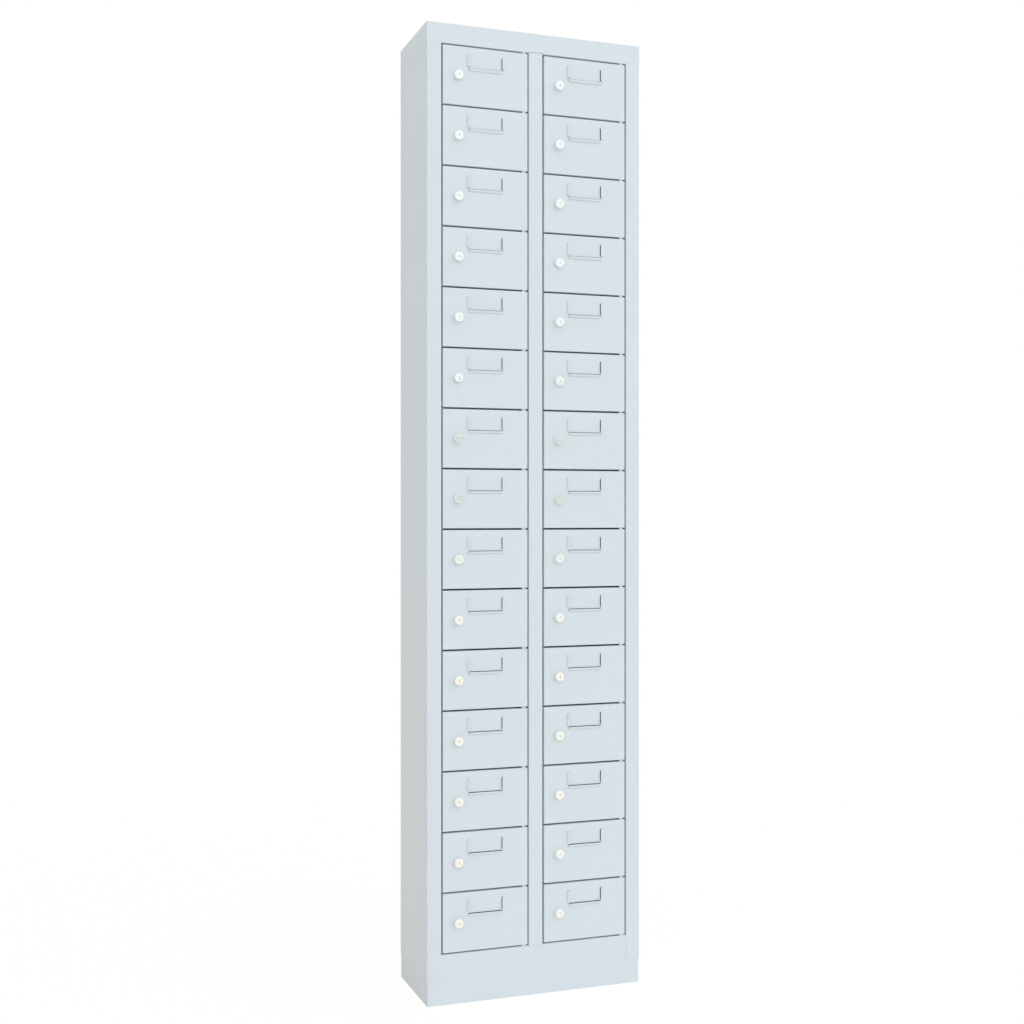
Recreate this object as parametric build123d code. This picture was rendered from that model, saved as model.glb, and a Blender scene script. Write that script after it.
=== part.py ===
from build123d import *
import os

# Phone locker cabinet in folded sheet steel: two columns of small doors, each on a hinge rod at its
# right edge, each with a cam lock that stands proud of it and a label holder lanced out of its sheet.
#
# Millimetres, X to the right, Y to the back, Z up. The origin is on the floor, under the middle of the
# whole object with its lock heads. Each piece is drawn with Y counted from the front of the cabinet.

# Cabinet
WIDTH = 460.0
DEPTH = 200.0
HEIGHT = 1950.0
ROWS = 15
SHEET = 1.0  # thickness of every folded sheet
BEND = 0.8  # inner radius of its folds

# Front, from the outside to the openings
STILE = 30.0  # face of each side panel
MULLION = 30.0  # post between the two columns
HEADER = 40.0
PLINTH = 100.0
SIDE_FOOT = 49.0  # floor to the lower end of the side panels
CORNER_NOTCH = 2.0  # a header or plinth stops this far from the fold that lines an opening
REVEAL = 16.5  # depth of the folds that line the openings
STOP_LIP = 10.0  # width of the fold that a lock cam turns behind
MULLION_TUCK = 25.0  # how far the mullion goes up behind the header

# Inside
REAR_FLANGE = 15.0  # fold of the side and top panels at the back
WELD_FLANGE = 12.0  # folds of the inner panels where they are spot-welded
FOOT_FLANGE = 20.0  # fold that the plinth stands on
SHELF_SETBACK = 1.0  # behind the stop lips
EAR_PLAY = 0.3  # beside the ears that close the hollow posts at each shelf
EAR_SETBACK = 0.5  # in front of them
WALL_HOLE = 8.0
WALL_HOLE_SPACING = 230.0

# Doors
SIDE_GAP = 3.0
DOOR_GAP = 3.5  # between one door and the next
END_GAP = 3.0  # at the header and at the plinth
DOOR_RETURN = 15.0  # depth of the door's folded edges

# Hinges
HINGE_INSET = 7.5  # from the door's right edge
HINGE_DEPTH = 4.5  # behind the door's face
ROD = 5.0
ROD_PLAY = 0.1  # between the rod and every hole that it runs in
ROD_TAIL = 6.0  # how far its top goes past the header's fold
TONGUE = 8.5  # width of the shelf tongue that holds the rod between two doors
TONGUE_SETBACK = 0.6
ROD_FOOT = 9.0  # square foot that the rod and its lowest door stand on
DOOR_PLAY = 0.2  # between a door and the tongue or foot that it stands on
PIVOT_FLATS = 6  # the punched hinge holes have this many sides

# Label holder: three lips lanced out of the door's sheet
LABEL_LEFT = 50.5  # from the door's left edge to the holder
LABEL_DROP = 15.8  # from the door's top edge to the holder
LABEL_WIDTH = 78.0
LABEL_HEIGHT = 31.2
LIP = 4.3  # width of a lip
LIP_PROUD = 2.8
LIP_WINDOW = 1.2  # the hole that a lip leaves shows this wide beside it
LIP_WEB = 2.6  # sheet left between the holes of two lips

# Cam lock
LOCK_INSET = 31.5  # from the door's left edge
LOCK_HEAD = 18.0
LOCK_PROUD = 9.0
LOCK_NECK = 13.0  # square
NECK_PLAY = 0.1
CAM_GAP = 0.5  # between the stop lip and the cam
CAM_THICK = 2.0
CAM_WIDTH = 12.0
CAM_CORNER = 2.5
TANG = 6.0  # square end of the plug, which drives the cam
CAM_SCREW = 8.0  # across the flats
SCREW_HEAD = 3.0

# Worked out from the sizes above
FRONT = -(DEPTH - LOCK_PROUD) / 2
INSIDE = WIDTH / 2 - SHEET  # inner face of a side panel
OPENING_TOP = HEIGHT - HEADER
STOP_BACK = REVEAL + SHEET
INNER_TOP = HEIGHT - SHEET - BEND  # clear of the folds under the top
BACK_FACE = DEPTH - 2 * SHEET  # inner face of the back panel
PITCH = (OPENING_TOP - PLINTH + DOOR_GAP - 2 * END_GAP) / ROWS
DOOR_HEIGHT = PITCH - DOOR_GAP
DOOR_WIDTH = WIDTH / 2 - STILE - MULLION / 2 - 2 * SIDE_GAP
DOOR_LEFT = {"left": -WIDTH / 2 + STILE + SIDE_GAP, "right": MULLION / 2 + SIDE_GAP}
CAM_FRONT = STOP_BACK + CAM_GAP
CAM_REACH = LOCK_INSET  # the cam's tip turns as far as the door's edge


def folded(points):
    """Section of a folded sheet: its skin runs through the points, with the metal on its left."""
    corners = [Vector(*point) for point in points]
    radii = []
    for before, corner, after in zip(corners, corners[1:], corners[2:]):
        turn = (corner - before).cross(after - corner).Z
        radii.append(BEND + SHEET if turn > 0 else BEND)
    skin = FilletPolyline(*corners, radius=radii)
    return make_face(skin.offset_2d(SHEET, side=Side.LEFT).edges())


def creased(points):
    """The same for an inner panel, whose folds are pressed sharp."""
    return make_face(Polyline(*points).offset_2d(SHEET, Kind.INTERSECTION, Side.LEFT).edges())


def block(x, y, z):
    """Box between the two values given for each axis."""
    low = (min(x), min(y), min(z))
    size = (abs(x[1] - x[0]), abs(y[1] - y[0]), abs(z[1] - z[0]))
    return Pos(*low) * Box(*size, align=Align.MIN)


def upright(section, bottom, top):
    """A section in plan, X across and Y to the back, drawn up from one height to another."""
    return extrude(Pos(0, 0, bottom) * section, top - bottom)


def crosswise(section, left, right):
    """A section seen from the side, Y to the back and Z up, drawn across the cabinet."""
    plane = Plane(origin=(left, 0, 0), x_dir=(0, 1, 0), z_dir=(1, 0, 0))
    return extrude(plane * section, right - left)


def rod_hole(height):
    """Punched hole on the hinge axis, through anything within a sheet's thickness of a height."""
    hole = RegularPolygon(ROD / 2 + ROD_PLAY, PIVOT_FLATS, major_radius=False)
    return extrude(Pos(0, 0, height) * Rot(0, 0, 180 / PIVOT_FLATS) * hole, 1.5 * SHEET, both=True)


def hinge_place(side):
    """Where a column's hinge axis meets the floor."""
    return Pos(DOOR_LEFT[side] + DOOR_WIDTH - HINGE_INSET, HINGE_DEPTH, 0)


def row_bottom(row):
    """Lower edge of a door. Row 1 is the top one."""
    return OPENING_TOP - END_GAP + DOOR_GAP - row * PITCH


def side_panel(has_stop_lip):
    """Left side panel. Its stile goes down over the plinth, and only the openings have lined edges."""
    left = -WIDTH / 2
    edge = left + STILE
    points = [(left + REAR_FLANGE, DEPTH), (left, DEPTH), (left, 0), (edge, 0), (edge, REVEAL)]
    if has_stop_lip:
        points.append((edge + STOP_LIP, REVEAL))
    panel = upright(folded(points), SIDE_FOOT, HEIGHT)
    lining = (edge - SHEET - BEND, edge + STOP_LIP + 1)
    stile = (left + SHEET, edge + STOP_LIP + 1)
    panel -= block(lining, (SHEET, STOP_BACK + 1), (SIDE_FOOT - 1, PLINTH))
    panel -= block(lining, (SHEET, STOP_BACK + 1), (OPENING_TOP, HEIGHT + 1))
    panel -= block(stile, (-1, STOP_BACK + 1), (OPENING_TOP + CORNER_NOTCH, HEIGHT + 1))
    panel -= block((left - 1, edge), (-1, SHEET), (OPENING_TOP + CORNER_NOTCH, HEIGHT + 1))
    rear_fold = (left + SHEET, left + REAR_FLANGE + 1)
    return panel - block(rear_fold, (DEPTH - SHEET - BEND, DEPTH + 1), (INNER_TOP, HEIGHT + 1))


def top_panel():
    """Top with its header, whose ends lie over the side panels and the mullion."""
    rear_fold = [(DEPTH, HEIGHT - REAR_FLANGE), (DEPTH, HEIGHT)]
    header = [(0, HEIGHT), (0, OPENING_TOP), (REVEAL, OPENING_TOP)]
    panel = crosswise(folded(rear_fold + header), -WIDTH / 2, WIDTH / 2)
    below = (OPENING_TOP - 1, OPENING_TOP + CORNER_NOTCH)
    panel -= block((-MULLION / 2, MULLION / 2), (-1, REVEAL + 1), below)
    rear_corner = INSIDE + SHEET - REAR_FLANGE
    for side in (-1, 1):
        panel -= block((side * (WIDTH / 2 - STILE), side * WIDTH), (-1, REVEAL + 1), below)
        panel -= block((side * INSIDE, side * WIDTH), (SHEET, DEPTH + 1), (0, HEIGHT + 1))
        panel -= block((side * rear_corner, side * WIDTH), (DEPTH - SHEET, DEPTH + 1), (0, INNER_TOP))
        weld = (HEIGHT - WELD_FLANGE, HEIGHT - SHEET / 2)
        panel += block((side * (INSIDE - SHEET), side * INSIDE), (2 * SHEET, BACK_FACE - SHEET), weld)
    for column in DOOR_LEFT:
        panel -= hinge_place(column) * rod_hole(OPENING_TOP + SHEET / 2)
    return panel


def front_mullion():
    """Post between the columns. Its fold on the right column's lock side is that column's stop."""
    half = MULLION / 2
    hinge_fold = [(-half, STOP_BACK), (-half, SHEET)]
    stop_fold = [(half, SHEET), (half, REVEAL), (half + STOP_LIP, REVEAL)]
    post = upright(folded(hinge_fold + stop_fold), PLINTH - CORNER_NOTCH, OPENING_TOP + MULLION_TUCK)
    fold = (half - SHEET - BEND, half + STOP_LIP + 1)
    for height in ((OPENING_TOP, HEIGHT), (PLINTH - CORNER_NOTCH - 1, PLINTH)):
        post -= block(fold, (2 * SHEET, STOP_BACK + 1), height)
    return post


def centre_partition():
    """Flat wall between the columns, from inside the mullion to the back. The shelves' folds hold it."""
    return block((-SHEET / 2, SHEET / 2), (2 * SHEET, BACK_FACE), (PLINTH, HEIGHT - SHEET))


def back_panel():
    """Flat back inside the rear folds, with the wall fixings in the four corner compartments."""
    half = INSIDE - BEND
    panel = block((-half, half), (BACK_FACE, BACK_FACE + SHEET), (PLINTH - SHEET, INNER_TOP))
    for x in (-WALL_HOLE_SPACING / 2, WALL_HOLE_SPACING / 2):
        for row in (1, ROWS):
            centre = Pos(x, BACK_FACE + SHEET / 2, row_bottom(row) + DOOR_HEIGHT / 2)
            panel -= centre * Rot(90, 0, 0) * Cylinder(WALL_HOLE / 2, 3 * SHEET)
    return panel


def base_plinth():
    """Frame that the cabinet stands on. Its front is one sheet behind the stiles."""
    corner = BEND + SHEET
    section = folded([(REVEAL, PLINTH), (SHEET, PLINTH), (SHEET, 0), (SHEET + FOOT_FLANGE, 0)])
    frame = crosswise(section, corner - INSIDE, INSIDE - corner)
    width, depth = 2 * INSIDE, BACK_FACE
    plan = Pos(0, SHEET + depth / 2) * RectangleRounded(width, depth, corner)
    hollow = Pos(0, SHEET + depth / 2) * RectangleRounded(width - 2 * SHEET, depth - 2 * SHEET, BEND)
    mouth = Pos(0, SHEET + depth / 2) * Rectangle(width - 2 * FOOT_FLANGE, depth - 2 * FOOT_FLANGE)
    frame += upright(plan - hollow, 0, PLINTH - SHEET)
    frame += upright(plan - mouth, 0, SHEET)
    notch = (PLINTH - CORNER_NOTCH, PLINTH + 1)
    return frame - block((-MULLION / 2, MULLION / 2), (0, REVEAL + 1), notch)


def floor_panel():
    """Floor of the lowest compartments, laid on the plinth's walls."""
    front = STOP_BACK + SHELF_SETBACK
    fold = PLINTH - WELD_FLANGE
    section = creased([(BACK_FACE, fold), (BACK_FACE, PLINTH), (front, PLINTH), (front, fold)])
    panel = crosswise(section, -INSIDE, INSIDE)
    fold_end = INSIDE - SHEET - BEND
    for side in (-1, 1):
        panel -= block((side * fold_end, side * WIDTH), (0, DEPTH), (0, PLINTH - SHEET))
    return panel


def shelf(side, row):
    """Shelf under one row. Its ears close the hollow posts, and its tongue holds the hinge rod."""
    left, right = (-INSIDE, -SHEET / 2) if side == "left" else (SHEET / 2, INSIDE)
    top = row_bottom(row) - DOOR_PLAY
    fold = top - WELD_FLANGE
    section = creased([(right, fold), (right, top), (left, top), (left, fold)])
    front = STOP_BACK + SHELF_SETBACK
    plate = extrude(Plane.XZ.offset(-BACK_FACE) * section, BACK_FACE - front)
    ear_front = 2 * SHEET + EAR_SETBACK
    door_edges = (DOOR_LEFT[side] - SIDE_GAP, DOOR_LEFT[side] + DOOR_WIDTH + SIDE_GAP)
    for post, wall in zip(door_edges, (left, right)):
        lining = SHEET + EAR_PLAY if post > wall else -SHEET - EAR_PLAY
        plate += block((wall, post - lining), (ear_front, front + SHEET), (top - SHEET, top))
    tongue_tip = HINGE_DEPTH - TONGUE / 2 + TONGUE_SETBACK
    middle = DOOR_LEFT[side] + DOOR_WIDTH - HINGE_INSET
    tongue = block((middle - TONGUE / 2, middle + TONGUE / 2), (tongue_tip, front + SHEET), (top - SHEET, top))
    return plate + tongue - hinge_place(side) * rod_hole(top - SHEET / 2)


def hinge_rod(side):
    """Rod that a whole column of doors turns on, from the plinth up through the header's fold."""
    length = OPENING_TOP + SHEET + ROD_TAIL - PLINTH
    return hinge_place(side) * Pos(0, 0, PLINTH) * extrude(Circle(ROD / 2), length)


def rod_foot(side):
    """Square foot on the plinth, round the rod's lower end, that carries the lowest door."""
    plate = Pos(0, 0, PLINTH) * extrude(Rectangle(ROD_FOOT, ROD_FOOT), END_GAP - DOOR_PLAY)
    return hinge_place(side) * (plate - rod_hole(PLINTH + END_GAP / 2))


def label_lip(length):
    """One lip and the hole that it was cut from. It runs up from the origin, open to the right."""
    top, under = -LIP_PROUD, -LIP_PROUD + SHEET
    outline = Polyline((0, 0), (0, top), (LIP, top), (LIP, under), (SHEET, under), (SHEET, 0), close=True)
    lip = extrude(make_face(outline), length)
    window = block((SHEET, LIP + LIP_WINDOW), (-SHEET / 2, 2 * SHEET), (0, length))
    return lip, window


def door_tray():
    """Door sheet with its four folded edges, its label holder, its lock hole and its hinge holes."""
    body = block((0, DOOR_WIDTH), (0, DOOR_RETURN), (0, DOOR_HEIGHT))
    tray = offset(body, -SHEET, openings=body.faces().sort_by(Axis.Y)[-1])
    holder_top = DOOR_HEIGHT - LABEL_DROP
    holder_right = LABEL_LEFT + LABEL_WIDTH
    side_length = LABEL_HEIGHT - LIP - LIP_WINDOW - LIP_WEB
    lower_length = LABEL_WIDTH - 2 * SHEET - 2 * LIP_WEB
    lip, window = label_lip(side_length)
    places = [(Pos(LABEL_LEFT, 0, holder_top - side_length), lip, window)]
    places.append((Pos(holder_right, 0, holder_top) * Rot(0, 180, 0), lip, window))
    lip, window = label_lip(lower_length)
    lower = Pos(holder_right - SHEET - LIP_WEB, 0, holder_top - LABEL_HEIGHT) * Rot(0, -90, 0)
    places.append((lower, lip, window))
    for place, lip, window in places:
        tray = tray - place * window + place * lip
    neck = LOCK_NECK / 2 + NECK_PLAY
    middle = DOOR_HEIGHT / 2
    tray -= block((LOCK_INSET - neck, LOCK_INSET + neck), (-1, 2 * SHEET), (middle - neck, middle + neck))
    for height in (SHEET / 2, DOOR_HEIGHT - SHEET / 2):
        tray -= Pos(DOOR_WIDTH - HINGE_INSET, HINGE_DEPTH, 0) * rod_hole(height)
    return tray


def turned(diameter, front, rear):
    """Round bar about the lock's axis, from one depth to another."""
    return Rot(90, 0, 0) * Pos(0, 0, -rear) * extrude(Circle(diameter / 2), rear - front)


def lock_housing():
    """Closed body of a lock: its round head, and its square neck through the door's sheet."""
    half = LOCK_NECK / 2
    head = Rot(90, 0, 0) * extrude(Circle(LOCK_HEAD / 2), LOCK_PROUD)
    return head + block((-half, half), (0, CAM_FRONT), (-half, half))


def cam_outline():
    """Cam hanging down from the lock's axis, with its corners cut."""
    half = CAM_WIDTH / 2
    tip = -CAM_REACH
    corner = CAM_CORNER
    right = [(half - corner, half), (half, half - corner), (half, tip + corner), (half - corner, tip)]
    left = [(-x, z) for x, z in reversed(right)]
    return make_face(Polyline(*right, *left, close=True))


def behind_lip(section, thickness):
    """Plate that stands just behind the stop lip, drawn from a section seen from the front."""
    return extrude(Plane.XZ.offset(-CAM_FRONT) * section, -thickness)


def cam_parts():
    """What the key turns behind a door: the plug's square end, the cam on it and the cam's screw."""
    square = Rectangle(TANG, TANG)
    cam = behind_lip(cam_outline() - square, CAM_THICK)
    head = RegularPolygon(CAM_SCREW / 2, 6, major_radius=False)
    screw = Pos(0, CAM_THICK, 0) * behind_lip(head, SCREW_HEAD)
    return [behind_lip(square, CAM_THICK), cam, screw]


def write(name, solids):
    """One node, moved from the cabinet's front to the origin under its middle."""
    export_step(Pos(0, FRONT, 0) * Compound(children=list(solids)), f"parts/{name}.step")


def write_cabinet():
    """Every piece that stands still."""
    left_panel = side_panel(has_stop_lip=True)
    right_panel = mirror(side_panel(has_stop_lip=False), Plane.YZ)
    write("left_side_panel", [left_panel])
    write("right_side_panel", [right_panel])
    write("top_panel", [top_panel()])
    write("back_panel", [back_panel()])
    write("centre_partition", [centre_partition()])
    write("front_mullion", [front_mullion()])
    write("base_plinth", [base_plinth()])
    write("floor_panel", [floor_panel()])
    for side in DOOR_LEFT:
        write(f"shelves_{side}", [shelf(side, row) for row in range(1, ROWS)])
    write("hinge_rods", [hinge_rod(side) for side in DOOR_LEFT])
    write("rod_feet", [rod_foot(side) for side in DOOR_LEFT])


def write_doors():
    """Doors with their locks. In the left column what the key turns is a node of its own."""
    tray = door_tray()
    housing = lock_housing()
    cam = cam_parts()
    fixed_cam = cam[0] + cam[1] + cam[2]
    for row in range(1, ROWS + 1):
        for side, left in DOOR_LEFT.items():
            corner = Pos(left, 0, row_bottom(row))
            axis = corner * Pos(LOCK_INSET, 0, DOOR_HEIGHT / 2)
            door = [corner * tray, axis * housing]
            if side == "left":
                write(f"door_left_{row:02d}", door)
                write(f"lock_cam_left_{row:02d}", [axis * piece for piece in cam])
            else:
                write(f"door_right_{row:02d}", door + [axis * fixed_cam])


os.makedirs("parts", exist_ok=True)
write_cabinet()
write_doors()
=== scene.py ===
"""Phone locker cabinet in powder-coated sheet steel, with two columns of small doors.

New pieces are drawn in millimetres, as on a workshop drawing, and then put into the cabinet's own
frame, which is in metres. What belongs to a door is drawn with Y counted backwards from its face.
"""

import math

import bpy
import numpy as np
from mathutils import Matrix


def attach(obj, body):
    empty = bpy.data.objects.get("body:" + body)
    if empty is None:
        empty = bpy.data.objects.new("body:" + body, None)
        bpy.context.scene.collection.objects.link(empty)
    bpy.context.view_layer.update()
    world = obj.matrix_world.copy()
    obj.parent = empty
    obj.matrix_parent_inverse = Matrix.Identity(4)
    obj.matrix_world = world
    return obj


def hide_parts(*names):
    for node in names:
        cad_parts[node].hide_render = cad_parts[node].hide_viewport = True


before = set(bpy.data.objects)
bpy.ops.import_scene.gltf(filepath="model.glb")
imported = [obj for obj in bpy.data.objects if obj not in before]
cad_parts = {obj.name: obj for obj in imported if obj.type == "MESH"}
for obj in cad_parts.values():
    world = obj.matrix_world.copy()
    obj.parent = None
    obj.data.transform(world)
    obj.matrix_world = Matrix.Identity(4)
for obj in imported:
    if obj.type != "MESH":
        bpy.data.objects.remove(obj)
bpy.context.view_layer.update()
scene = bpy.context.scene
scene.view_settings.view_transform = "Standard"


# Camera: level, at half the cabinet's height, 2.7 m in front of it and 1 m to its left, so that the
# doors face it and the left side shows as a narrow strip.
TURN_TO_RIGHT = 19.650
lens = bpy.data.cameras.new("camera")
lens.sensor_width = 36
lens.lens = 49.494
lens.shift_y = 0.00155
camera = bpy.data.objects.new("camera", lens)
camera.location = (-1.00697, -2.77114, 0.97579)
camera.rotation_euler = (math.pi / 2, 0, -math.radians(TURN_TO_RIGHT))
scene.collection.objects.link(camera)
scene.camera = camera


# Studio: white all round, brighter and cooler at the front right than at the back left, with one
# very large weak lamp. The pale floor gives back about as much light as the white above it, so the
# cabinet is as bright at its foot as at its top, and the floor keeps a soft shadow.
FRONT_RIGHT = (0.574, -0.819, 0)
FLOOR_HALF = 30


def linear(colour):
    """A hex sRGB colour as linear red, green, blue and alpha."""
    parts = np.array([int(colour[k : k + 2], 16) / 255 for k in (1, 3, 5)])
    low, high = parts / 12.92, ((parts + 0.055) / 1.055) ** 2.4
    return (*np.where(parts <= 0.04045, low, high), 1)


def node(tree, kind, settings=None, **links):
    """Adds a node. A link is a value for the input of that name, or another node's output. Where
    inputs share a name, i and a number say which of them all is meant."""
    made = tree.nodes.new(kind)
    for key, value in (settings or {}).items():
        setattr(made, key, value)
    for key, value in links.items():
        place = int(key[1:]) if key[1:].isdigit() else key.replace("_", " ")
        socket = made.inputs[place]
        if isinstance(value, bpy.types.NodeSocket):
            tree.links.new(value, socket)
        else:
            socket.default_value = value
    return made


def empty_tree(owner):
    """The owner's node tree, with nothing in it."""
    owner.use_nodes = True
    owner.node_tree.nodes.clear()
    return owner.node_tree


def backdrop(tree, light, mirrored, share=1.0):
    """Plain white for the camera, tinted where metal or glass shows it, and light for all the
    rest. Share is how much of the white covers what the light's own shader shows. Where that is
    less than all, the white is a little over 1, so that the uncovered part doesn't grey it."""
    path = node(tree, "ShaderNodeLightPath")
    shine = node(tree, "ShaderNodeMath", {"operation": "MAXIMUM"},
                 i0=path.outputs["Is Glossy Ray"], i1=path.outputs["Is Transmission Ray"])
    direct = node(tree, "ShaderNodeMath", {"operation": "MAXIMUM"},
                  i0=path.outputs["Is Camera Ray"], i1=shine.outputs[0])
    cover = node(tree, "ShaderNodeMath", {"operation": "MULTIPLY"}, i0=direct.outputs[0], i1=share)
    tint = node(tree, "ShaderNodeMix", {"data_type": "RGBA"}, i0=shine.outputs[0],
                i6=(1, 1, 1, 1), i7=linear(mirrored))
    background = light.bl_idname == "ShaderNodeBackground"
    white = node(tree, "ShaderNodeBackground" if background else "ShaderNodeEmission",
                 Color=tint.outputs[2], Strength=1 + 0.2 * (1 - share))
    return node(tree, "ShaderNodeMixShader", i0=cover.outputs[0], i1=light.outputs[0],
                i2=white.outputs[0]).outputs[0]


world = bpy.data.worlds.new("white_studio")
scene.world = world
tree = empty_tree(world)
direction = node(tree, "ShaderNodeTexCoord").outputs["Generated"]
turn = node(tree, "ShaderNodeVectorMath", {"operation": "DOT_PRODUCT"}, i0=direction,
            i1=FRONT_RIGHT)
along = node(tree, "ShaderNodeMapRange", Value=turn.outputs["Value"], From_Min=-1.0)
ambient = node(tree, "ShaderNodeMix", {"data_type": "RGBA"}, i0=along.outputs[0],
               i6=linear("#8F8C80"), i7=linear("#F6F7FC"))
glow = node(tree, "ShaderNodeBackground", Color=ambient.outputs[2], Strength=1.485)
node(tree, "ShaderNodeOutputWorld", Surface=backdrop(tree, glow, "#FAFEFF"))

sweep = bpy.data.materials.new("white_floor")
tree = empty_tree(sweep)
paper = node(tree, "ShaderNodeBsdfDiffuse", Color=linear("#F6F5F3"))
node(tree, "ShaderNodeOutputMaterial", Surface=backdrop(tree, paper, "#FFFBF1", share=0.94))
mesh = bpy.data.meshes.new("floor")
corners = [(-FLOOR_HALF, -FLOOR_HALF, 0), (FLOOR_HALF, -FLOOR_HALF, 0),
           (FLOOR_HALF, FLOOR_HALF, 0), (-FLOOR_HALF, FLOOR_HALF, 0)]
mesh.from_pydata(corners, [], [(0, 1, 2, 3)])
mesh.materials.append(sweep)
floor = bpy.data.objects.new("floor", mesh)
scene.collection.objects.link(floor)

# A matt board far in front of the cabinet, which the locks at the camera's height mirror. It faces
# the cabinet and the camera doesn't see it.
BOARD_LEFT, BOARD_RIGHT, BOARD_FOOT, BOARD_TOP, BOARD_Y = 0.8, 2.6, 0.9, 1.55, -5
board_paint = bpy.data.materials.new("matt_board")
tree = empty_tree(board_paint)
matt = node(tree, "ShaderNodeBsdfDiffuse", Color=linear("#EAF8F9"))
node(tree, "ShaderNodeOutputMaterial", Surface=matt.outputs[0])
mesh = bpy.data.meshes.new("board")
corners = [(BOARD_LEFT, BOARD_Y, BOARD_FOOT), (BOARD_RIGHT, BOARD_Y, BOARD_FOOT),
           (BOARD_RIGHT, BOARD_Y, BOARD_TOP), (BOARD_LEFT, BOARD_Y, BOARD_TOP)]
mesh.from_pydata(corners, [], [(3, 2, 1, 0)])
mesh.materials.append(board_paint)
board = bpy.data.objects.new("board", mesh)
board.visible_camera = False
scene.collection.objects.link(board)

softbox = bpy.data.lights.new("softbox", "SUN")
softbox.angle = math.radians(60)
softbox.energy = 0.05
softbox.color = (0.90, 0.97, 1.0)
lamp = bpy.data.objects.new("softbox", softbox)
lamp.location = (3.0, -2.6, 4.0)
lamp.rotation_euler = (math.radians(55), 0, math.radians(55))
scene.collection.objects.link(lamp)


# Cabinet: the folded panels that stand still. Zinc-phosphated mild steel, 1 mm thick, spot-welded
# and then powder-coated in one pale grey-blue, so every joint shows only as a hairline. On the
# stiles and the mullion that hairline is painted dark: partly the joint's crack, and partly painted
# shadow under the edge of the sheet that steps over it.
PALE_BLUE, PANEL_CLOUD, DOOR_CLOUD, SEAM_SHADE = "#DAE3E8", "#D6E0E5", "#D7E1E6", "#98A1A5"
SEAM_FRONT = -0.094


def powder_coat(name, cloud, joints=()):
    """Baked polyester powder: satin, with an orange peel of about 2 mm and faint clouds of about
    140 mm. Each seam shadow is a dark hairline painted where the front butts on or steps over
    another sheet: partly the joint's crack, and partly painted shadow under the step. Each is given
    as its height and half its width, in metres, and shows only on what lies in front of SEAM_FRONT."""
    made = bpy.data.materials.new(name)
    tree = empty_tree(made)
    place = node(tree, "ShaderNodeTexCoord").outputs["Object"]
    clouds = node(tree, "ShaderNodeTexNoise", Vector=place, Scale=7.0, Detail=3.0, Roughness=0.5)
    tone = node(tree, "ShaderNodeMix", {"data_type": "RGBA"}, i0=clouds.outputs["Fac"],
                i6=linear(PALE_BLUE), i7=linear(cloud)).outputs[2]
    # Painted shade: a dark hairline on the front at each given height.
    for height, half in joints:
        apart = node(tree, "ShaderNodeSeparateXYZ", Vector=place).outputs
        front = node(tree, "ShaderNodeMath", {"operation": "LESS_THAN"}, i0=apart[1],
                     i1=SEAM_FRONT)
        level = node(tree, "ShaderNodeMath", {"operation": "COMPARE"}, i0=apart[2], i1=height,
                     i2=half)
        line = node(tree, "ShaderNodeMath", {"operation": "MULTIPLY"}, i0=level.outputs[0],
                    i1=front.outputs[0])
        tone = node(tree, "ShaderNodeMix", {"data_type": "RGBA"}, i0=line.outputs[0], i6=tone,
                    i7=linear(SEAM_SHADE)).outputs[2]
    skin = node(tree, "ShaderNodeTexNoise", Vector=place, Scale=480.0, Detail=1.5, Roughness=0.45)
    relief = node(tree, "ShaderNodeBump", Height=skin.outputs["Fac"], Strength=0.35,
                  Distance=0.00006)
    gloss = node(tree, "ShaderNodeMapRange", Value=clouds.outputs["Fac"], To_Min=0.40,
                 To_Max=0.48)
    coat = node(tree, "ShaderNodeBsdfPrincipled", Base_Color=tone, Roughness=gloss.outputs[0],
                IOR=1.5, Normal=relief.outputs[0])
    node(tree, "ShaderNodeOutputMaterial", Surface=coat.outputs[0])
    return made


cabinet_coat = powder_coat("powder_coat_cabinet", PANEL_CLOUD)
# The stiles' and the mullion's hairlines are painted shade at their joints. The widest, on the
# mullion under the header's edge, stands for the shadow of the header over it.
stile_coat = powder_coat("powder_coat_stiles", PANEL_CLOUD,
                         joints=((1.91185, 0.00011), (0.04915, 0.00005)))
mullion_coat = powder_coat("powder_coat_mullion", PANEL_CLOUD,
                           joints=((1.91155, 0.0004), (0.09815, 0.00018)))
PANELS = {name: cabinet_coat for name in ("top_panel", "back_panel", "centre_partition",
                                          "base_plinth", "floor_panel", "shelves_left",
                                          "shelves_right", "rod_feet")}
PANELS |= {"left_side_panel": stile_coat, "right_side_panel": stile_coat,
           "front_mullion": mullion_coat}
for name, coat in PANELS.items():
    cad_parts[name].data.materials.clear()
    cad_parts[name].data.materials.append(coat)


# Hinge rods: drawn mild steel, bright zinc-plated, one to a column. Each goes up through every
# door and shelf tongue, from a painted square foot on the plinth to the header's fold.
def plated_steel(name, colour, roughness, grain):
    """Bright zinc on steel: a greyish mirror, blurred by fine drawing marks. Spring steel, oiled
    and not plated, is the same in a darker grey. Grain is how many marks there are to a metre, so
    that each is about 2 mm long."""
    made = bpy.data.materials.new(name)
    tree = empty_tree(made)
    place = node(tree, "ShaderNodeTexCoord").outputs["Object"]
    marks = node(tree, "ShaderNodeTexNoise", Vector=place, Scale=grain, Detail=4.0, Roughness=0.6)
    tone = node(tree, "ShaderNodeMix", {"data_type": "RGBA"}, i0=marks.outputs["Fac"],
                i6=linear(colour), i7=linear("#C9CBC9"))
    blur = node(tree, "ShaderNodeMapRange", Value=marks.outputs["Fac"], To_Min=roughness,
                To_Max=roughness + 0.12)
    steel = node(tree, "ShaderNodeBsdfPrincipled", Base_Color=tone.outputs[2], Metallic=1.0,
                 Roughness=blur.outputs[0])
    node(tree, "ShaderNodeOutputMaterial", Surface=steel.outputs[0])
    return made


zinc = plated_steel("zinc_plated_steel", "#DCDFDF", 0.26, 420.0)
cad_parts["hinge_rods"].data.materials.clear()
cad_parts["hinge_rods"].data.materials.append(zinc)


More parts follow.
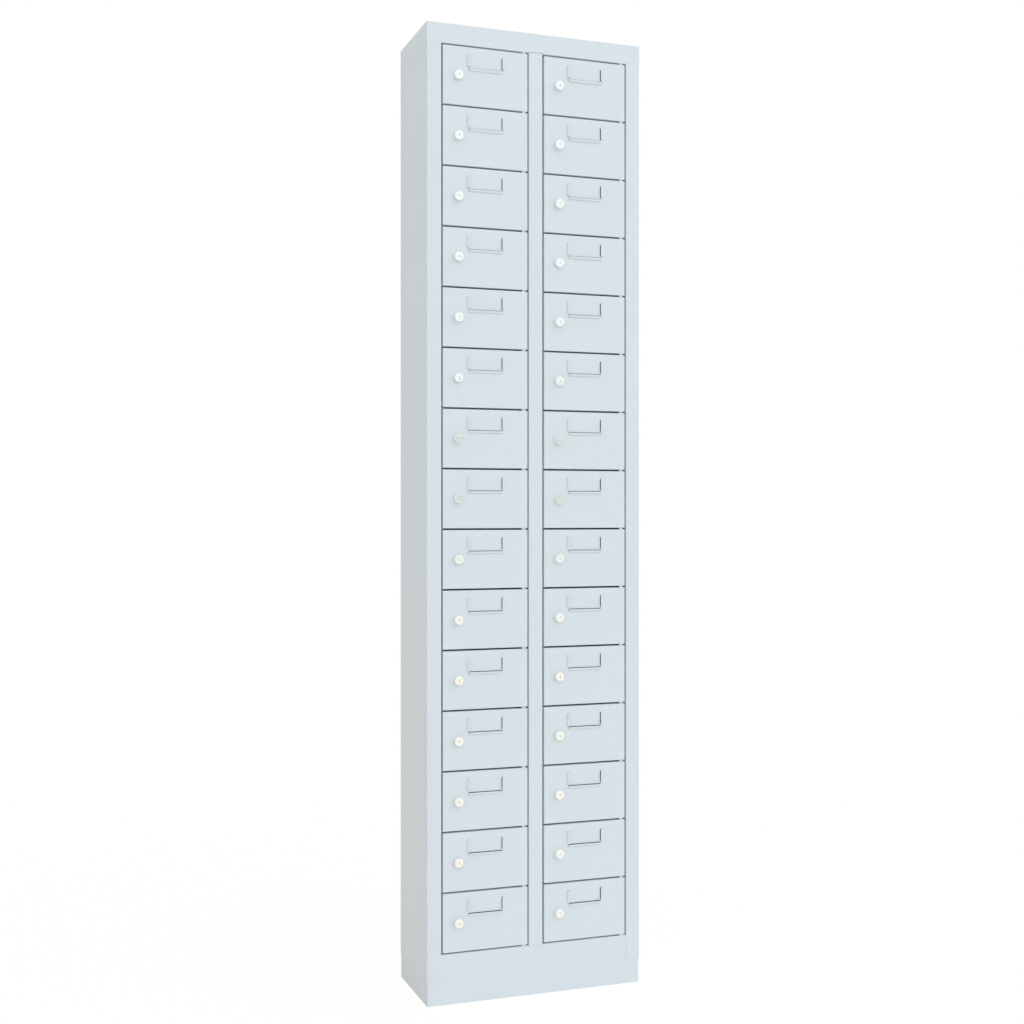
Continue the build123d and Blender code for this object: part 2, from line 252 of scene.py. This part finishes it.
# Hinge washers: turned rings of pale grey nylon, one on the rod above each door, that keep it from
# rubbing on the tongue or header over it. They stay with the rod.
FRONT = -95.5
HINGE_X, HINGE_Y = {"left": -25.5, "right": 189.5}, FRONT + 4.5
ROWS, PITCH, OPENING_TOP, DOOR_GAP, TOP_GAP = 15, 120.5, 1910.0, 3.5, 3.0
ROW_BOTTOM = OPENING_TOP + DOOR_GAP - TOP_GAP - PITCH * np.arange(1, ROWS + 1)
UNDER_HEADER, UNDER_TONGUE = (2.95, 0.1), (3.45, 1.25)
WASHER_BORE, WASHER, WASHER_EDGE = 2.6, 4.2, 0.35


def grid_faces(rows, columns, closed=False):
    """Quads between neighbours on a grid of points. A closed one joins its last column to its
    first."""
    index = np.arange(rows * columns).reshape(rows, columns)
    if closed:
        index = np.hstack([index, index[:, :1]])
    quads = (index[:-1, :-1], index[:-1, 1:], index[1:, 1:], index[1:, :-1])
    return np.stack(quads, -1).reshape(-1, 4)


def turned(profile, steps=48):
    """A profile of (radius, height) turned about Z, downwards seen from outside. Points that fall
    together, on the axis or where a ring's section closes, are merged."""
    profile = np.asarray(profile, float)
    angle = np.linspace(0, 2 * math.pi, steps, endpoint=False)
    radius, height = profile[:, :1], profile[:, 1:]
    grid = np.stack([radius * np.cos(angle), radius * np.sin(angle),
                     np.broadcast_to(height, (len(profile), steps))], -1)
    points, place = np.unique(grid.reshape(-1, 3).round(5), axis=0, return_inverse=True)
    faces = place.ravel()[grid_faces(len(profile), steps, closed=True)[:, ::-1]]
    return points, [list(dict.fromkeys(face)) for face in faces.tolist()]


def joined(*parts):
    """Several (points, faces) as one."""
    points, faces, count = [], [], 0
    for more, its_faces in parts:
        points.append(more)
        faces += [[k + count for k in face] for face in its_faces]
        count += len(more)
    return np.vstack(points), faces


def put(points, faces, name, material, body):
    """A mesh object from millimetres in the cabinet's frame, riding on one of its bodies. Edges
    between faces that turn by over 35 degrees stay sharp."""
    mesh = bpy.data.meshes.new(name)
    mesh.from_pydata((np.asarray(points) / 1000).tolist(), [], [list(face) for face in faces])
    mesh.polygons.foreach_set("use_smooth", np.ones(len(mesh.polygons), bool))
    mesh.set_sharp_from_angle(angle=math.radians(35.0))
    mesh.materials.append(material)
    made = bpy.data.objects.new(name, mesh)
    scene.collection.objects.link(made)
    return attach(made, body)


def nylon(name, colour):
    """Turned nylon 6, dyed pale grey: milky, with light going a little way in, and rings of fine
    tool marks 0.2 mm apart."""
    made = bpy.data.materials.new(name)
    tree = empty_tree(made)
    place = node(tree, "ShaderNodeTexCoord").outputs["Object"]
    marks = node(tree, "ShaderNodeTexWave", {"bands_direction": "Z"}, Vector=place, Scale=1600.0,
                 Distortion=0.6, Detail=1.0)
    relief = node(tree, "ShaderNodeBump", Height=marks.outputs["Fac"], Strength=0.2,
                  Distance=0.00003)
    milk = node(tree, "ShaderNodeTexNoise", Vector=place, Scale=300.0, Detail=2.0)
    tone = node(tree, "ShaderNodeMix", {"data_type": "RGBA"}, i0=milk.outputs["Fac"],
                i6=linear(colour), i7=linear("#D6DDE0"))
    body = node(tree, "ShaderNodeBsdfPrincipled", Base_Color=tone.outputs[2], Roughness=0.42,
                IOR=1.53, Subsurface_Weight=0.2, Subsurface_Scale=0.001,
                Subsurface_Radius=(1, 1, 1), Normal=relief.outputs[0])
    node(tree, "ShaderNodeOutputMaterial", Surface=body.outputs[0])
    return made


def washer(bottom, top):
    """Ring between two heights: a section with four broken edges, turned round the rod with a
    little play."""
    inner, outer, edge = WASHER_BORE, WASHER, WASHER_EDGE
    section = [(inner + edge, top), (outer - edge, top), (outer, top - edge),
               (outer, bottom + edge), (outer - edge, bottom), (inner + edge, bottom),
               (inner, bottom + edge), (inner, top - edge), (inner + edge, top)]
    return turned(section, 32)


grey_nylon = nylon("grey_nylon", "#CDD5D9")
for side, x in HINGE_X.items():
    rings = [washer(OPENING_TOP - UNDER_HEADER[0], OPENING_TOP - UNDER_HEADER[1])]
    rings += [washer(bottom - UNDER_TONGUE[0], bottom - UNDER_TONGUE[1])
              for bottom in ROW_BOTTOM[:-1]]
    points, faces = joined(*rings)
    washers = put(points + (x, HINGE_Y, 0), faces, f"hinge_washers_{side}", grey_nylon, "cabinet")


# Doors: thirty equal trays folded from 1 mm sheet, powder-coated like the cabinet. Each has its
# four edges turned back, and a label holder of three lips lanced out of its face and bent forward.
DOOR_WIDTH, DOOR_HEIGHT, DOOR_DEPTH = 179.0, 117.0, 15.0
SHEET, FOLD = 1.0, 1.05
DOOR_LEFT = {"left": -197.0, "right": 18.0}
HOLDER_LEFT, HOLDER_RIGHT, HOLDER_FOOT = 50.5, 128.5, 70.0
SIDE_LIP, SIDE_WINDOW, FOOT_WINDOW, FOOT_INSET = (78.1, 101.2), (1.0, 5.2), (1.0, 5.4), 3.6
LIP, LIP_PROUD, LIP_HOLLOW, LIP_EDGE = 4.3, 2.8, 0.3, 0.2
DOORS = [(side, row) for side in DOOR_LEFT for row in range(1, ROWS + 1)]


def door_corner(side, row):
    """Lower left corner of a door's face in the cabinet's frame."""
    return np.array([DOOR_LEFT[side], FRONT, ROW_BOTTOM[row - 1]])


def fold_skin(fold, front):
    """One side of a door's sheet, as points and quads.

    The flat face is a grid whose lines run along the windows of the label holder, and the quads in
    those windows are left out. Round it goes a profile along the face's outline: a quarter circle
    of radius fold, then straight back. At a corner the outline stays in place and only its
    direction turns, which gives the rounded corner."""
    steps = np.array([SIDE_WINDOW[0], FOOT_INSET, SIDE_WINDOW[1]])
    x = np.array([FOLD, *(HOLDER_LEFT + steps), *(HOLDER_RIGHT - steps[::-1]), DOOR_WIDTH - FOLD])
    z = np.array([FOLD, HOLDER_FOOT + FOOT_WINDOW[0], HOLDER_FOOT + FOOT_WINDOW[1], *SIDE_LIP,
                  DOOR_HEIGHT - FOLD])
    flat_x, flat_z = np.meshgrid(x, z)
    face = np.stack([flat_x, np.full_like(flat_x, front), flat_z], -1).reshape(-1, 3)
    quads = grid_faces(len(z), len(x))
    middle = face[quads].mean(1)
    side_window = (middle[:, 2] > SIDE_LIP[0]) & (middle[:, 2] < SIDE_LIP[1])
    edge = np.minimum(middle[:, 0] - HOLDER_LEFT, HOLDER_RIGHT - middle[:, 0])
    side_window &= (edge > SIDE_WINDOW[0]) & (edge < SIDE_WINDOW[1])
    lift = middle[:, 2] - HOLDER_FOOT
    foot_window = (lift > FOOT_WINDOW[0]) & (lift < FOOT_WINDOW[1]) & (edge > FOOT_INSET)
    quads = quads[~(side_window | foot_window)]

    turn = np.linspace(0, math.pi / 2, 6)
    corner = turn[1:-1]
    runs = []
    for line, first, heading in ((x, z[0], -math.pi / 2), (z, x[-1], 0.0),
                                 (x[::-1], z[-1], math.pi / 2), (z[::-1], x[0], math.pi)):
        across = np.stack([line, np.full_like(line, first)], -1)
        if abs(math.cos(heading)) > 0.5:
            across = across[:, ::-1]
        angles = np.concatenate([np.full(len(line), heading), heading + corner])
        places = np.vstack([across, np.repeat(across[-1:], len(corner), 0)])
        runs.append(np.column_stack([places, angles]))
    outline = np.vstack(runs)
    out = np.append(fold * np.sin(turn), fold)
    back = np.append(front + fold * (1 - np.cos(turn)), DOOR_DEPTH)
    edge_x = outline[:, 0] + out[:, None] * np.cos(outline[:, 2])
    edge_z = outline[:, 1] + out[:, None] * np.sin(outline[:, 2])
    edges = np.stack([edge_x, np.broadcast_to(back[:, None], edge_x.shape), edge_z], -1)
    ring = grid_faces(len(back), len(outline), closed=True)[:, ::-1] + len(face)
    return np.vstack([face, edges.reshape(-1, 3)]), np.vstack([quads, ring])


def closed_sheet(outer, inner, quads):
    """Both sides of a sheet and the cut edges between them. A cut edge is one that only one quad
    has."""
    starts, ends = quads.ravel(), np.roll(quads, -1, 1).ravel()
    key = np.minimum(starts, ends) * len(outer) + np.maximum(starts, ends)
    _, where, count = np.unique(key, return_inverse=True, return_counts=True)
    cut = count[where] == 1
    a, b, n = starts[cut], ends[cut], len(outer)
    rim = np.stack([b, a, a + n, b + n], -1)
    return np.vstack([outer, inner]), np.vstack([quads, quads[:, ::-1] + n, rim])


def lip(length):
    """A lanced lip along Z from the origin, open to +X: its section carried along a straight line.

    The section rises out of the sheet through a small hollow curve, bends over a quarter circle of
    1 mm and runs flat to its free edge, whose corners are just broken. Its root is let into the
    sheet by the hollow's depth."""
    turn = np.linspace(0, math.pi / 2, 5)
    rise = SHEET - LIP_PROUD
    hollow, edge = LIP_HOLLOW, LIP_EDGE
    foot = hollow * np.stack([np.sin(turn) - 1, np.cos(turn) - 1], -1)
    bend = np.stack([1 - np.cos(turn), rise - np.sin(turn)], -1)
    tip = np.array([(-edge, -1.0), (0.0, edge - 1.0), (0.0, -edge), (-edge, 0.0)]) + (LIP, rise)
    under = np.array([(1 + edge, rise), (1.0, rise + edge), (1.0, -0.02), (0.9, hollow),
                      (-hollow, hollow)])
    section = np.vstack([foot, bend, tip, under])
    count = len(section)
    ends = [np.column_stack([section, np.full(count, z)]) for z in (0, length)]
    side = grid_faces(2, count, closed=True)
    caps = [list(range(count))[::-1], list(range(count, 2 * count))]
    return np.vstack(ends), side.tolist() + caps


def door_sheet():
    """A door's tray with its label holder, from its own lower left corner."""
    outer, quads = fold_skin(FOLD, 0.0)
    inner, _ = fold_skin(FOLD - SHEET, SHEET)
    tray = closed_sheet(outer, inner, quads)
    points, faces = lip(SIDE_LIP[1] - SIDE_LIP[0])
    flipped = [face[::-1] for face in faces]
    left = points + (HOLDER_LEFT, 0, SIDE_LIP[0])
    right = points * (-1, 1, 1) + (HOLDER_RIGHT, 0, SIDE_LIP[0])
    points, _ = lip(HOLDER_RIGHT - HOLDER_LEFT - 2 * FOOT_INSET)
    foot = points[:, [2, 1, 0]] + (HOLDER_LEFT + FOOT_INSET, 0, HOLDER_FOOT)
    return joined(tray, (left, faces), (right, flipped), (foot, flipped))


door_coat = powder_coat("powder_coat_doors", DOOR_CLOUD)
tray_points, tray_faces = door_sheet()
for side, row in DOORS:
    body = f"door_{side}_{row:02d}"
    tray = put(tray_points + door_corner(side, row), tray_faces, f"tray_{side}_{row:02d}",
               door_coat, body)
    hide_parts(body)


# Lock housings: zinc die castings, polished and chrome-plated. The round head stands proud of the
# door, and its square neck goes through the sheet and is held behind it by a spring-steel fork.
LOCK_X, HEAD, PROUD, NECK, NECK_END, BORE = 31.5, 9.0, 9.0, 6.5, 18.0, 6.13
BORE_FLOOR, BORE_EDGE, HEAD_EDGE, SEAT_EDGE = 3.0, 0.06, 0.5, 0.4
FORK_OUTER, FORK_INNER, FORK_FOOT, FORK_ROUND = 11.0, 5.9, -10.5, 2.0
FACE_OUT = np.array([[1, 0, 0], [0, 0, 1], [0, -1, 0]])


def lock_centre(side, row):
    """Where a lock's axis goes through its door's face."""
    return door_corner(side, row) + (LOCK_X, 0, DOOR_HEIGHT / 2)


def arc(centre, radius, first, last, steps):
    """Points on a circle in the profile's plane between two angles in degrees."""
    angle = np.radians(np.linspace(first, last, steps))
    return np.stack([centre[0] + radius * np.cos(angle), centre[1] + radius * np.sin(angle)], -1)


def stamped(outline, front, rear, edge):
    """A plate between two depths. Its outline runs anticlockwise seen from the front, and both its
    edges are broken by moving each corner inwards along the mean normal of its two sides."""
    outline = np.asarray(outline, float)
    side = np.roll(outline, -1, 0) - outline
    normal = np.stack([side[:, 1], -side[:, 0]], -1) / np.linalg.norm(side, axis=1)[:, None]
    mean = normal + np.roll(normal, 1, 0)
    inward = -mean / (mean * normal).sum(1)[:, None]
    layers = [(front, edge), (front + edge, 0), (rear - edge, 0), (rear, edge)]
    rings = [outline + inward * inset for _, inset in layers]
    points = np.vstack([np.column_stack([r[:, 0], np.full(len(r), y), r[:, 1]])
                        for r, (y, _) in zip(rings, layers)])
    count = len(outline)
    faces = grid_faces(len(layers), count, closed=True)[:, ::-1].tolist()
    last = len(points) - count
    return points, faces + [list(range(count)), list(range(last, last + count))[::-1]]


def rounded_bar(half_width, top, bottom, radius):
    """Outline of an upright bar: a quarter circle at each corner, anticlockwise seen from the
    front."""
    across, upper, lower = half_width - radius, top - radius, bottom + radius
    corners = [(across, upper, 0), (-across, upper, 90), (-across, lower, 180),
               (across, lower, 270)]
    return np.vstack([arc((x, z), radius, first, first + 90, 4) for x, z, first in corners])


def chrome(name, colour, roughness):
    """Decorative chrome over polished zinc: a cold mirror with a breath of haze, in cloudlets of
    about 4 mm."""
    made = bpy.data.materials.new(name)
    tree = empty_tree(made)
    place = node(tree, "ShaderNodeTexCoord").outputs["Object"]
    haze = node(tree, "ShaderNodeTexNoise", Vector=place, Scale=260.0, Detail=2.0, Roughness=0.5)
    blur = node(tree, "ShaderNodeMapRange", Value=haze.outputs["Fac"], To_Min=roughness,
                To_Max=roughness + 0.08)
    plate = node(tree, "ShaderNodeBsdfPrincipled", Base_Color=linear(colour), Metallic=1.0,
                 Roughness=blur.outputs[0])
    node(tree, "ShaderNodeOutputMaterial", Surface=plate.outputs[0])
    return made


chrome_plate = chrome("chrome_plated_zinc", "#FEFFFE", 0.10)
spring_steel = plated_steel("spring_steel", "#B9BCBC", 0.3, 600.0)
# The two points inside the rounded edges keep the head's face flat in its shading as well.
head_points, head_faces = turned(np.vstack([
    [(0, BORE_FLOOR), (BORE, BORE_FLOOR)],
    arc((BORE + BORE_EDGE, PROUD - BORE_EDGE), BORE_EDGE, 180, 90, 4),
    [(BORE + 0.1, PROUD), (HEAD - 0.55, PROUD)],
    arc((HEAD - HEAD_EDGE, PROUD - HEAD_EDGE), HEAD_EDGE, 90, 0, 6),
    [(HEAD, SEAT_EDGE), (HEAD - SEAT_EDGE, 0.0), (0, 0.0)]]))
neck = stamped(rounded_bar(NECK, NECK, -NECK, 1.2), 0.0, NECK_END, 0.4)
housing_points, housing_faces = joined((head_points @ FACE_OUT, head_faces), neck)
# The fork is a horseshoe: an outer and an inner half circle, and two legs with rounded ends.
leg_outer, leg_inner = FORK_OUTER - FORK_ROUND, FORK_INNER + FORK_ROUND
fork_outline = np.vstack([
    arc((0, 3.0), FORK_OUTER, 0, 180, 15),
    arc((-leg_outer, FORK_FOOT), FORK_ROUND, 180, 270, 4),
    arc((-leg_inner, FORK_FOOT), FORK_ROUND, 270, 360, 4),
    arc((0, 2.0), FORK_INNER, 180, 0, 13),
    arc((leg_inner, FORK_FOOT), FORK_ROUND, 180, 270, 4),
    arc((leg_outer, FORK_FOOT), FORK_ROUND, 270, 360, 4)])
fork_points, fork_faces = stamped(fork_outline, 1.15, 2.35, 0.15)
for side, row in DOORS:
    centre = lock_centre(side, row)
    body = f"door_{side}_{row:02d}"
    housing = put(housing_points + centre, housing_faces, f"lock_housing_{side}_{row:02d}",
                  chrome_plate, body)
    fork = put(fork_points + centre, fork_faces, f"lock_fork_{side}_{row:02d}", spring_steel,
               body)


# Lock plugs: the chrome-plated cylinder that the key turns, its face just below the housing's rim.
# A sprung shutter closes the upright keyway against dust. The left column's turn with their cams.
FACE, PLUG = 8.93, 6.1
SLOT_HALF_WIDTH, SLOT_HALF_HEIGHT, SLOT_POINTS, SHUTTER = 1.3, 3.9, 40, 0.35


def turning_body(side, row):
    """What a lock's plug and cam ride on. Those of the right column stay with their doors."""
    return f"lock_cam_left_{row:02d}" if side == "left" else f"door_right_{row:02d}"


def keyway():
    """Outline of the keyway: an ellipse whose cosine and sine are raised to powers below 1, which
    squares it up to a slot, bent a little where the key's groove is."""
    angle = np.linspace(0, 2 * math.pi, SLOT_POINTS, endpoint=False)
    x = SLOT_HALF_WIDTH * np.sign(np.cos(angle)) * np.abs(np.cos(angle)) ** 0.35
    z = SLOT_HALF_HEIGHT * np.sign(np.sin(angle)) * np.abs(np.sin(angle)) ** 0.9
    bend = 0.3 * np.exp(-((z - 0.6) / 1.1) ** 2)
    return np.stack([x + bend, z], -1)


def plug():
    """Face of the plug as a grid from the keyway's outline to a circle, then its broken rim and
    its side. Inwards from the outline the keyway's walls go down to the shutter. The first two
    bands of faces are the keyway's, and its shutter and the plug's back are the last two faces."""
    slot = keyway()
    angle = np.arctan2(slot[:, 1], slot[:, 0])
    circle = np.stack([np.cos(angle), np.sin(angle)], -1)
    rings = [(slot * 0.97, SHUTTER + 0.07 - FACE), (slot, SHUTTER - FACE), (slot, 0.08 - FACE),
             (slot * 1.04, -FACE)]
    rings += [(slot * (1 - t) + (PLUG - 0.4) * circle * t, -FACE) for t in (0.35, 0.7, 1.0)]
    rings += [((PLUG - 0.02) * circle, 0.03 - FACE), (PLUG * circle, 0.1 - FACE),
              (PLUG * circle, -2.5)]
    points = np.vstack([np.column_stack([r[:, 0], np.full(SLOT_POINTS, y), r[:, 1]])
                        for r, y in rings])
    faces = grid_faces(len(rings), SLOT_POINTS, closed=True)[:, ::-1].tolist()
    back = list(range(len(points) - SLOT_POINTS, len(points)))
    return points, faces + [list(range(SLOT_POINTS)), back[::-1]]


def nickelled(name, colour, worn):
    """Nickel over brass where the key rubs: soft grey metal, matt, and duller in faint patches of
    about 1 mm."""
    made = bpy.data.materials.new(name)
    tree = empty_tree(made)
    place = node(tree, "ShaderNodeTexCoord").outputs["Object"]
    film = node(tree, "ShaderNodeTexNoise", Vector=place, Scale=900.0, Detail=3.0, Roughness=0.6)
    tone = node(tree, "ShaderNodeMix", {"data_type": "RGBA"}, i0=film.outputs["Fac"],
                i6=linear(colour), i7=linear(worn))
    blur = node(tree, "ShaderNodeMapRange", Value=film.outputs["Fac"], To_Min=0.3, To_Max=0.5)
    metal = node(tree, "ShaderNodeBsdfPrincipled", Base_Color=tone.outputs[2], Metallic=1.0,
                 Roughness=blur.outputs[0])
    node(tree, "ShaderNodeOutputMaterial", Surface=metal.outputs[0])
    return made


keyway_nickel = nickelled("nickelled_brass", "#EBEEE7", "#DBDED6")
plug_points, plug_faces = plug()
in_keyway = np.zeros(len(plug_faces), dtype=np.int32)
in_keyway[:2 * SLOT_POINTS] = in_keyway[-2] = 1
for side, row in DOORS:
    key_plug = put(plug_points + lock_centre(side, row), plug_faces,
                   f"lock_plug_{side}_{row:02d}", chrome_plate, turning_body(side, row))
    key_plug.data.materials.append(keyway_nickel)
    key_plug.data.polygons.foreach_set("material_index", in_keyway)


# Lock cams: stamped from 2 mm strip and zinc-plated, square-holed on the plug's tail and held by a
# flanged hexagon screw. They hang down when the door is free, as here.
CAM_HALF_WIDTH, CAM_REACH, CAM_BACK = 6.0, 31.5, 20.0
SCREW_HALF_WIDTH, SCREW_END = 4.0, 23.0
cam_outline = rounded_bar(CAM_HALF_WIDTH, CAM_HALF_WIDTH, -CAM_REACH, 2.5)
angles = np.radians(np.arange(30, 390, 60))
corners = np.stack([np.cos(angles), np.sin(angles)], -1)
hexagon = SCREW_HALF_WIDTH / math.cos(math.pi / 6) * corners
flange_points, flange_faces = turned([(0, -19.98), (4.6, -19.98), (4.9, -20.2), (4.6, -20.7),
                                      (0, -20.9)], 32)
cam_points, cam_faces = joined(
    stamped(cam_outline, NECK_END + 0.02, CAM_BACK, 0.25),
    (flange_points @ FACE_OUT, flange_faces),
    stamped(hexagon, CAM_BACK + 0.5, SCREW_END, 0.35))
for side, row in DOORS:
    body = turning_body(side, row)
    cam = put(cam_points + lock_centre(side, row), cam_faces, f"cam_{side}_{row:02d}", zinc, body)
    if side == "left":
        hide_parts(body)
